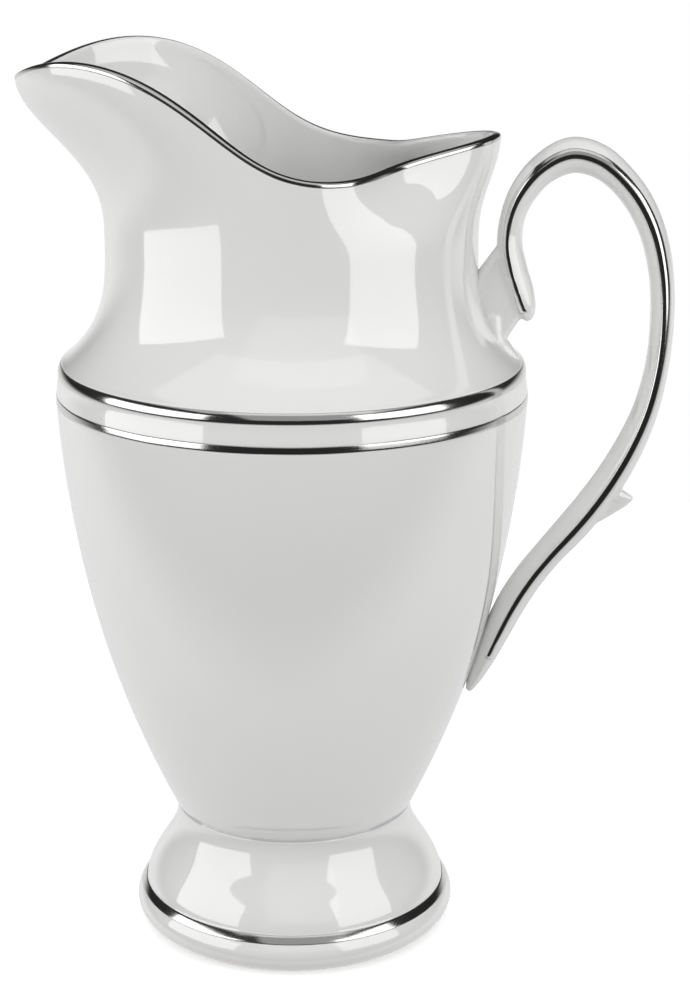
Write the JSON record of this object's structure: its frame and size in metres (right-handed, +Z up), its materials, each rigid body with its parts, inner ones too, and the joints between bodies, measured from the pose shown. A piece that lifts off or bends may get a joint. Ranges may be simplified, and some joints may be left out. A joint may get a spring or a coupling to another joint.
{
  "type": "pedestal water pitcher",
  "caption": "Footed urn-shaped pitcher of white glazed china with a waved mouth, a wide pulled spout, a looped handle with a curled end and platinum lines.",
  "frame": {"origin": "on the bowl's axis, at the plane the foot stands on", "axes": "+Z up along the bowl's axis, +X towards the handle, -X towards the spout; the plane y = 0 is the mirror plane"},
  "size_m": [0.1629, 0.1196, 0.2285],
  "materials": {
    "china": "clear glossy glaze over white bone china",
    "platinum": "polished fired platinum lustre"
  },
  "bodies": {
    "root": {"body": "china", "foot": "china", "handle": "china", "rim_line": "platinum", "shoulder_band": "platinum", "shoulder_pinstripe": "platinum", "foot_band": "platinum", "handle_line_left": "platinum", "handle_line_right": "platinum"}
  },
  "joints": []
}
